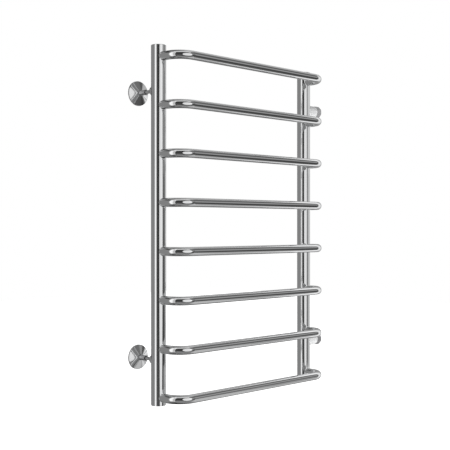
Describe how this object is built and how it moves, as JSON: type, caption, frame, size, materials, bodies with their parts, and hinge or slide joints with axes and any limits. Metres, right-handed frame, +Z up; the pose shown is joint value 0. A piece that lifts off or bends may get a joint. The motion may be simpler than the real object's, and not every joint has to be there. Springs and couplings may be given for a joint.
{
  "type": "towel warmer rack",
  "caption": "Wall-hung hot-water towel rack: two upright collectors, bowed rungs standing out in front, telescopic wall brackets and side union connections.",
  "frame": {"origin": "middle of the upper wall socket's flat back face, on the wall plane", "axes": "+Z up along the collectors, +Y into the wall, +X to the right seen from the front, towards the water connections"},
  "size_m": [0.583, 0.151, 0.8],
  "materials": {
    "polished_steel": "mirror polished stainless steel",
    "satin_steel": "satin stainless steel",
    "plain_steel": "machined steel",
    "seal_rubber": "matt black rubber",
    "black_plastic": "satin black plastic"
  },
  "bodies": {
    "wall_mounts": {"upper_wall_socket": "plain_steel", "lower_wall_socket": "plain_steel", "upper_guide_bush": "black_plastic", "lower_guide_bush": "black_plastic"},
    "rack": {"left_collector": "polished_steel", "right_collector": "polished_steel", "left_top_cap": "polished_steel", "left_bottom_cap": "polished_steel", "right_top_cap": "polished_steel", "right_bottom_cap": "polished_steel", "rung_1": "polished_steel", "rung_2": "polished_steel", "rung_3": "polished_steel", "rung_4": "polished_steel", "rung_5": "polished_steel", "rung_6": "polished_steel", "rung_7": "polished_steel", "rung_8": "polished_steel", "upper_stub": "satin_steel", "lower_stub": "satin_steel", "upper_gasket": "seal_rubber", "lower_gasket": "seal_rubber", "upper_bracket_boss": "polished_steel", "lower_bracket_boss": "polished_steel", "upper_bracket_rod": "polished_steel", "lower_bracket_rod": "polished_steel", "bleed_seal": "seal_rubber"},
    "upper_rosette": {"upper_rosette": "polished_steel"},
    "lower_rosette": {"lower_rosette": "polished_steel"},
    "upper_set_screw": {"upper_set_screw": "plain_steel"},
    "lower_set_screw": {"lower_set_screw": "plain_steel"},
    "upper_union_nut": {"upper_union_nut": "plain_steel"},
    "lower_union_nut": {"lower_union_nut": "plain_steel"},
    "bleed_screw": {"bleed_screw": "plain_steel"}
  },
  "joints": [
    {"name": "depth_slide", "type": "slide", "parent": "wall_mounts", "child": "rack", "axis": [0, -1, 0], "range_m": [-0.008, 0.006]},
    {"name": "upper_rosette_slide", "type": "slide", "parent": "wall_mounts", "child": "upper_rosette", "axis": [0, -1, 0], "range_m": [0, 0.01]},
    {"name": "lower_rosette_slide", "type": "slide", "parent": "wall_mounts", "child": "lower_rosette", "axis": [0, -1, 0], "range_m": [0, 0.01]},
    {"name": "upper_set_screw_turn", "type": "hinge", "parent": "wall_mounts", "child": "upper_set_screw", "pos_m": [0, -0.019, -0.005], "axis": [0, 0, -1], "range_deg": [0, 720]},
    {"name": "lower_set_screw_turn", "type": "hinge", "parent": "wall_mounts", "child": "lower_set_screw", "pos_m": [0, -0.019, -0.605], "axis": [0, 0, -1], "range_deg": [0, 720]},
    {"name": "upper_union_nut_spin", "type": "hinge", "parent": "rack", "child": "upper_union_nut", "pos_m": [0.54775, -0.073, 0], "axis": [1, 0, 0], "continuous": true},
    {"name": "lower_union_nut_spin", "type": "hinge", "parent": "rack", "child": "lower_union_nut", "pos_m": [0.54775, -0.073, -0.6], "axis": [1, 0, 0], "continuous": true},
    {"name": "bleed_screw_turn", "type": "hinge", "parent": "rack", "child": "bleed_screw", "pos_m": [0.5, -0.073, 0.095], "axis": [0, 0, 1], "range_deg": [0, 540]}
  ]
}
